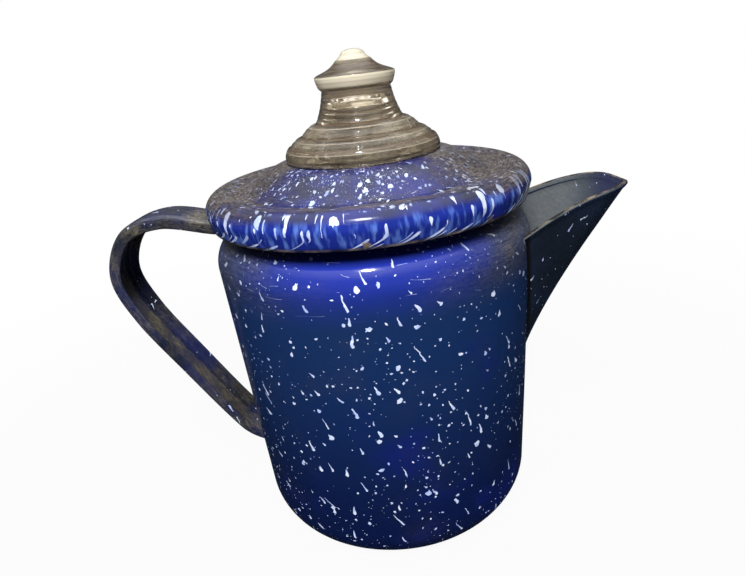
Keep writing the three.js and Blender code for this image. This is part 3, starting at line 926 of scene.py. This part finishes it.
def wall_blue(n):
    """Teal navy with painted shade that darkens it towards the base, bright cobalt on the front and back of
    the shoulder as painted light, and cobalt in a few cloudy patches.
    """
    # Painted shade: the navy darkens towards the base.
    navy = n.mix(n.fade(n.z, 10, 110), (0.0025, 0.007, 0.045), (0.006, 0.022, 0.085))
    cloudy = n.times(n.patches(26, 3, 0.55, 0.52, 0.72), 0.6)
    colour = n.mix(cloudy, navy, (0.005, 0.010, 0.13))
    waver = n.waver(35, 12 * MM)
    # Painted light: the shoulder turns bright cobalt where it faces front or back.
    shoulder = n.fade(n.plus(n.z, waver), SHOULDER_START - 12.7, SHOULDER_TOP - 2)
    ahead = n.ramp(n.plus(n.front, n.times(waver, 20)), 0.55, 0.97, 0.1, 0.9)
    return n.mix(n.times(shoulder, ahead), colour, LIT_COBALT)


def spout_blue(n):
    """Nearly black navy, bluer at the tip, with a darker line where the spout meets the pot."""
    colour = mottled(n, 40, 3, 0.5, (0.007, 0.011, 0.018), (0.009, 0.016, 0.036))
    colour = n.mix(n.fade(n.x, SPOUT_TIP - 14.2, SPOUT_TIP - 5.2), colour, (0.006, 0.009, 0.045))
    wall = n.plus(n.times(n.z, WALL_SLOPE), (FOOT_RADIUS - FOOT_CORNER * WALL_SLOPE) * MM)
    seam = n.fade(n.minus(n.radius, wall), 1.8, 0.6)
    return n.mix(seam, colour, (0.003, 0.0025, 0.002))


def handle_blue(n):
    return mottled(n, 40, 3, 0.5, (0.006, 0.009, 0.018), (0.008, 0.013, 0.060))


def lid_blue(n):
    """Dark blue with painted shade that turns its sides nearly black, painted light that brightens the front
    and back of the band, and pale blue runs between the drips.
    """
    base = mottled(n, 60, 4, 0.6, (0.007, 0.009, 0.034), (0.010, 0.014, 0.115))
    # Painted shade: the lid turns nearly black at its sides, between front and back.
    base = n.mix(n.ramp(n.front, 0.4, 0.85), (0.007, 0.008, 0.022), base)
    band = n.window(n.z, LID_EDGE + 0.7, LID_EDGE + 8.7, 1.5)
    # Painted light: the band turns bright blue on its front and back.
    lit_band = n.times(band, n.ramp(n.front, 0.3, 0.8))
    base = n.mix(n.times(lit_band, 0.7), base, (0.008, 0.022, 0.24))
    angle = n.math("ARCTAN2", n.y, n.x)
    runs = n.noise(1, place=n.join(n.times(angle, 26), n.times(n.z, 120)))
    return n.mix(n.times(n.ramp(runs, 0.47, 0.68), band, 0.75), base, (0.090, 0.17, 0.50))


def wall_spatter(n):
    """Specks in clusters, larger drops with tails that lean one way, and thin scratches on the shoulder."""
    cluster = n.clusters(30, 1, 0.35, 0.7, 0.1, 0.7)
    scratches = spatter(n, n.join(n.times(n.u, 0.3), n.v), (4.6, 0.6, 0.085, 0.7, 4.5, -80, 90, 0.67))
    scratches = n.times(scratches, 0.55, n.fade(n.z, SHOULDER_START - 8.7, SHOULDER_START - 1.7))
    return n.most(scratches, spatter(
        n, n.flow,
        (2.4, n.times(cluster, 0.5), 0.30, 0.4, 0.1, 0, 360, 0.11),
        (4.8, cluster, 0.62, 0.4, 0.6, 0, 360, 0.23),
        (9.5, 0.45, 0.75, 0.55, 5, -28, 60, 0.37),
        (13, 0.45, 0.5, 0.6, 7.5, -18, 60, 0.41),
        (15, 0.5, 1.3, 0.5, 1.6, -30, 120, 0.59)))


def sparse_spatter(n):
    return spatter(n, n.flow, (4.8, 0.25, 0.45, 0.4, 0.6, 0, 360, 0.21),
                   (11, 0.4, 0.6, 0.55, 5, -38, 60, 0.39))


def lid_spatter(n):
    """Round dots in clusters on the dome, thin streaks in the valley, and drips that hook over the band."""
    band = lengths_along([p for p in lid_line() if p[0] < LID_RADIUS - 5])[-1]
    cluster = n.times(n.clusters(40, 1, 0.4, 0.62, 0.1, 0.9), 0.9)
    dots = spatter(n, n.flow, (1.5, cluster, 0.28, 0.4, 0.2, 0, 360, 0.13),
                   (3.6, cluster, 1.6, 0.4, 0.2, 0, 360, 0.29),
                   (5.5, 0.4, 1.4, 0.5, 0.2, 0, 360, 0.71))
    dots = n.times(dots, n.clusters(160, 2, 0.35, 0.65, 0.45, 0.9))
    past = n.most(n.minus(n.v, (band + 9.5) * MM), 0)
    hooked = n.join(n.plus(n.u, n.times(past, past, 330)), n.times(n.v, 0.5))
    drips = spatter(n, hooked, (5.2, 0.7, 1.5, 0.35, 4.2, 0, 10, 0.31),
                    (3.6, 0.45, 0.6, 0.4, 4, 0, 12, 0.47))
    drips = n.times(drips, n.ramp(n.front, 0.1, 0.7, 0.4, 0.8))
    over = n.fade(n.v, band + 0.5, band + 2.5)
    streaks = spatter(n, n.flow, (8, 0.7, 0.22, 0.6, 9, 90, 30, 0.53))
    valley = n.times(streaks, n.window(n.radius, VALLEY_RADIUS - 4.2, VALLEY_RADIUS + 3.8, 1))
    return n.most(n.times(drips, over), valley, n.times(dots, n.minus(1, over)))


# ------ dirt and wear


def side_film(n, front_edge, amount):
    """A film that leaves the front and back of the pot clear and thickens towards spout and handle."""
    ragged = n.plus(n.front, n.waver(30, 0.5))
    worn = n.patches(75, 5, 0.65, 0.36, 0.62, 0.68, 1)
    return n.times(n.ramp(ragged, front_edge, front_edge - 0.5), worn, amount)


def pot_film(n):
    """Dirt on the sides of the shoulder, and a thin smear in places."""
    height = n.fade(n.z, SHOULDER_START - 14.7, SHOULDER_START + 3.3)
    smear = n.times(n.patches(45, 5, 0.5, 0.5, 0.8), 0.10)
    return n.plus(n.times(height, side_film(n, 1, 0.9)), smear)


def spout_film(n):
    """Grey on the inside of the spout, where the sheet faces up or back towards the pot."""
    up = n.split(n.add("NewGeometry").outputs["Normal"])[2]
    inside = n.times(n.ramp(up, 0.02, 0.12), n.fade(n.x, SPOUT_TIP - 5.2, SPOUT_TIP - 22.2, 0.15, 0.9))
    return n.plus(inside, 0.03)


def rim_wear(n):
    """Enamel worn to tan and rust along the spout's rim."""
    waver = n.times(n.noise(220, 3), 1.6 * MM)
    edge = n.split(n.add("UVMap", uv_map="edge").outputs[0])[0]
    return n.fade(n.plus(edge, waver), 1.7, 1.1)


def lid_film(n):
    """Dirt in the valley, on the sides of the dome and crest, and as dust and fine grain over the top."""
    radius = n.radius
    ragged = n.patches(90, 5, 0.7, 0.3, 0.55)
    line = n.times(n.window(radius, VALLEY_RADIUS - 1, VALLEY_RADIUS + 1, 0.5), ragged, 0.9)
    outer = n.most(n.fade(n.z, LID_EDGE + 5.7, LID_EDGE + 9.7),
                   n.fade(radius, VALLEY_RADIUS - 4.2, VALLEY_RADIUS - 6.2))
    crest = n.times(outer, side_film(n, 0.92, 0.9))
    top = n.times(n.window(radius, LID_RADIUS - 10.5, LID_RADIUS - 5, 1.2), 0.6)
    dust = n.patches(170, 5, 0.75, 0.42, 0.70)
    dust = n.times(dust, 0.35, n.fade(radius, VALLEY_RADIUS + 1.8, VALLEY_RADIUS - 2.2))
    grain = n.patches(1200, 2, 0.5, 0.54, 0.66)
    grain = n.times(grain, 0.4, n.fade(radius, LID_RADIUS - 6, LID_RADIUS - 8))
    return n.math("MINIMUM", n.most(line, top, crest, dust, grain), 0.95)


def lid_wear(n):
    """A worn lower edge, and chips just above it."""
    edge = n.fade(n.z, LID_EDGE + 0.9, LID_EDGE + 0.3, 0, 0.8)
    chips = n.patches(130, 3, 0.5, 0.60, 0.64)
    return n.most(edge, n.times(n.fade(n.z, LID_EDGE + 3, LID_EDGE + 1.5), chips))


def handle_film(n):
    """A painted reflection as an uneven olive stripe along the channel, grey on the strap's top, and a thin
    uneven film of dirt all over.
    """
    uneven = n.patches(60, 5, 0.5, 0.4, 0.7)
    across = n.math("ABSOLUTE", n.plus(n.y, n.times(n.noise(50), 2 * MM)))
    inside = n.fade(n.u, HANDLE_BACK, HANDLE_BACK + 1)
    # Painted reflection: an olive stripe down the middle of the channel.
    reflected_stripe = n.times(n.fade(across, 7, 4.5), inside, n.plus(0.35, n.times(uneven, 0.6)))
    top = n.times(n.fade(n.z, HANDLE_TOP - 14.3, HANDLE_TOP - 4.3), n.plus(0.2, n.times(uneven, 0.5)))
    return n.most(reflected_stripe, top, n.plus(0.06, n.times(uneven, 0.35)))


# ------ metal and glass


def metal(name, colour, stain, roughness=0.3):
    """Spun aluminium dulled by oxide, which scatters light: fine rings, with coffee stains."""
    n = Surface(name)
    rings = n.noise(2600, place=n.join(n.plus(n.radius, n.z), 0), kind="2D")
    stained = n.patches(60, 4, 0.6, 0.45, 0.75)
    base = n.mix(n.times(stained, 0.55), colour, stain)
    base = n.mix(n.times(rings, 0.25), base, (0.35, 0.34, 0.33))
    bump = n.add("Bump", {"Height": rings, "Distance": 0.04 * MM, "Strength": 0.6})
    rough = n.plus(roughness, n.times(stained, 0.25))
    return n.finished(n.shader({"Base Color": base, "Metallic": 0.45, "Roughness": rough, "Normal": bump}))


def smoky_glass(name):
    """Pressed glass gone smoky, with dirt in its rings, dirt and painted shade in the grooves at its tiers,
    painted highlights along the tiers' edges, and cream painted on the cap's band and finial as painted
    light.
    """
    n = Surface(name)
    z = n.z
    film = n.patches(70, 5, 0.65, 0.3, 0.75)
    rings = n.ramp(n.noise(900, 1, 0.5, n.join(z, 0), "2D"), 0.4, 0.65)
    neck, cap, roof = KNOB_NECK_TOP, KNOB_CAP, KNOB_ROOF

    below_cap = n.times(n.fade(z, neck + 0.8, neck - 1.2), n.fade(z, neck - 12.2, neck - 8.2, 1, 0.75))
    smoke = n.times(n.plus(0.18, n.times(n.plus(film, rings), 0.18)), below_cap)
    # Painted light: the cap's band and the finial turn cream.
    band = n.times(n.window(z, neck + 1.3, cap - 0.1, 0.3), n.ramp(rings, 0, 1, 0.45, 0.62))
    lit_cream = n.most(band, n.times(n.fade(z, roof + 0.4, roof + 1.5), 0.40))
    slope = n.times(n.window(z, cap + 0.2, roof + 0.2, 0.4), n.ramp(rings, 0, 1, 0.35, 0.75))
    # Dirt and painted shade: darker brown in the grooves at the tier tops.
    dirty_shaded_grooves = n.most(*[n.window(z, low, low + 0.7, 0.3) for low in TIER_GROOVES])
    # Painted highlights: pale lines along each tier's bulge.
    edges = n.most(*[n.window(z, low, low + 0.3, 0.2) for low in TIER_EDGES])
    share = n.most(smoke, lit_cream, slope, 0.10, n.times(dirty_shaded_grooves, 0.75), n.times(edges, 0.55))

    brown = n.mix(film, (0.105, 0.080, 0.054), (0.36, 0.305, 0.215))
    brushed = n.join(n.times(n.x, 0.3), n.times(n.y, 0.3), z)
    grain = n.ramp(n.noise(2600, place=brushed), 0.42, 0.62, 0, 0.5)
    brown = n.mix(grain, brown, (0.055, 0.045, 0.032))
    brown = n.mix(n.most(dirty_shaded_grooves, n.times(slope, 0.6)), brown, (0.085, 0.054, 0.032))
    brown = n.mix(edges, brown, (0.50, 0.43, 0.33))
    colour = n.mix(n.math("GREATER_THAN", lit_cream, 0.15), brown, (0.95, 0.87, 0.68))
    glass = n.shader({
        "Base Color": (0.84, 0.80, 0.72), "Roughness": 0.03, "IOR": 1.5, "Transmission Weight": 1})
    stain = n.shader({"Base Color": colour, "Roughness": 0.12})
    return n.finished(n.add("MixShader", {0: share, 1: glass, 2: stain}))


# ------ studio


def build_floor():
    """A wide pale floor: near white to the camera, warm grey through the glass, and mid grey to the light.

    Its matt part shows only close to the pot, where it takes a soft shadow.
    """
    radius, sides, below = 60000, 96, -0.2
    angles = [TURN * i / sides for i in range(sides)]
    vertices = [(radius * cos(a), radius * sin(a), below) for a in angles]
    floor = mesh_object("floor", vertices, [list(range(sides))])
    n = Surface("pale_floor")
    seen = n.add("LightPath").outputs
    colour = n.mix(seen["Is Camera Ray"], (0.22, 0.18, 0.13), (1, 1, 1))
    share = n.times(n.most(seen["Is Camera Ray"], seen["Is Transmission Ray"]),
                    n.fade(n.radius, 120, 500, 0.95, 1))
    matt = n.add("BsdfDiffuse", {"Color": (0.22, 0.22, 0.22)})
    glow = n.add("Emission", {"Color": colour, "Strength": 1})
    floor.data.materials.append(n.finished(n.add("MixShader", {0: share, 1: matt, 2: glow})))
    floor.visible_glossy = False


def build_world():
    """White to the camera; the enamel mirrors a dim room with a pale ceiling, and the glass a warm one."""
    world = bpy.data.worlds.new("studio")
    world.use_nodes = True
    world.node_tree.nodes.clear()
    n = Nodes(world.node_tree)
    path = n.add("LightPath").outputs
    up = n.split(n.add("TexCoord").outputs["Generated"])[2]
    room = n.mix(n.ramp(up, -0.1, 0.25), (0.010, 0.016, 0.03), (0.10, 0.11, 0.12))
    room = n.mix(n.ramp(up, 0.5, 1), room, (1.9, 1.95, 2))
    beyond = n.mix(n.ramp(up, 0, 0.6), (0.25, 0.21, 0.155), (1.1, 0.97, 0.76))
    colour = n.mix(path["Is Glossy Ray"], (0.10, 0.10, 0.11), room)
    colour = n.mix(path["Is Transmission Ray"], colour, beyond)
    colour = n.mix(path["Is Camera Ray"], colour, (1, 1, 1))
    back = n.add("Background", {"Color": colour, "Strength": 1})
    n.add("OutputWorld", {"Surface": back})
    bpy.context.scene.world = world


def build_lights():
    """Round soft lights. Only the small glint shows in mirror reflections."""
    shoulder, middle = (0, 0, 0.12), (0, 0, 0.1)
    for name, place, target, size, power in (
            ("key", (-0.02, -0.72, 0.98), shoulder, 0.45, 20),
            ("fill_top", (0, 0, 1.3), middle, 0.6, 5),
            ("fill_left", (-1.1, 0.2, 0.6), middle, 0.5, 2),
            ("fill_right", (1.1, 0.2, 0.6), middle, 0.5, 2),
            ("back", (0.1, 1.1, 0.9), middle, 0.7, 4),
            ("glint", (-0.02, -0.36, 0.75), shoulder, 0.07, 2.5)):
        data = bpy.data.lights.new(name, "AREA")
        data.shape = "DISK"
        data.size = size
        data.energy = power
        light = bpy.data.objects.new(name, data)
        light.location = place
        light.rotation_euler = (Vector(target) - Vector(place)).to_track_quat("-Z", "Y").to_euler()
        light.visible_glossy = name == "glint"
        link(light)


def swung(a, b, degrees):
    """Two axes turned together in their own plane."""
    angle = radians(degrees)
    return cos(angle) * a - sin(angle) * b, sin(angle) * a + cos(angle) * b


def build_camera():
    """The camera at the viewing angle of the reference: it looks down on the pot and leans a little."""
    elevation, pan, tilt, roll, side_turn = 26.65, -0.613, 4.058, 6.389, 5
    distance, aim_height = 3.877 * LID_RADIUS * MM, 1.231 * LID_RADIUS * MM
    down, ahead = swung(Vector((0, 0, -1)), Vector((0, 1, 0)), elevation)
    place = Vector((0, 0, aim_height)) - ahead * distance
    right, ahead = swung(Vector((1, 0, 0)), ahead, pan)
    up, ahead = swung(-down, ahead, tilt)
    right, up = swung(right, up, roll)
    data = bpy.data.cameras.new("camera")
    data.sensor_width = 36
    data.lens = 26.6
    camera = bpy.data.objects.new("camera", data)
    matrix = Matrix((right, up, -ahead)).transposed().to_4x4()
    matrix.translation = place
    camera.matrix_world = Matrix.Rotation(radians(side_turn), 4, "Z") @ matrix
    link(camera)
    bpy.context.scene.camera = camera


# ------ assembly

pot_enamel = enamel("pot_enamel", wall_blue, wall_spatter, pot_film, GREY_SOIL)
spout_enamel = enamel("spout_enamel", spout_blue, sparse_spatter, spout_film, SPOUT_SOIL, rim_wear)
lid_enamel = enamel("lid_enamel", lid_blue, lid_spatter, lid_film, BROWN_SOIL, lid_wear)
handle_enamel = enamel("handle_enamel", handle_blue, sparse_spatter, handle_film, OLIVE_SOIL_AND_REFLECTION,
                       grain=(1, 0.12))
aluminium = metal("aluminium", (0.50, 0.495, 0.485), (0.24, 0.18, 0.12))
valve_metal = metal("valve_metal", (0.42, 0.42, 0.42), (0.22, 0.16, 0.11), 0.35)
knob_glass = smoky_glass("knob_glass")

for build, body, node, slot, material in (
        (build_pot, "pot", "pot_body", "pot_enamel", pot_enamel),
        (build_spout, "pot", "spout", "pot_enamel", spout_enamel),
        (build_handle, "pot", "handle", "handle_enamel", handle_enamel),
        (build_lid, "lid", "lid_shell", "lid_enamel", lid_enamel),
        (build_lid_ring, "lid", "lid_ring", "aluminium", aluminium),
        (build_knob, "knob", "glass_knob", "knob_glass", knob_glass),
        (build_tube, "pump", "pump_tube", "aluminium", aluminium),
        (build_bell, "pump", "pump_bell", "aluminium", aluminium),
        (build_seat, "pump", "valve_seat", "aluminium", aluminium),
        (build_disc, "valve", "valve_disc", "valve_metal", valve_metal),
        (build_basket, "basket", "basket_cup", "aluminium", aluminium),
        (build_sleeve, "basket", "basket_sleeve", "aluminium", aluminium),
        (build_spreader, "spreader", "basket_lid", "aluminium", aluminium)):
    piece = build()
    piece.data.set_sharp_from_angle(angle=radians(50 if node == "glass_knob" else 35))
    piece.data.materials.clear()
    piece.data.materials.append(material)
    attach(piece, body)
    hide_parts(node)

build_floor()
build_world()
build_lights()
build_camera()

scene = bpy.context.scene
scene.view_settings.view_transform = "Standard"
scene.cycles.use_denoising = True
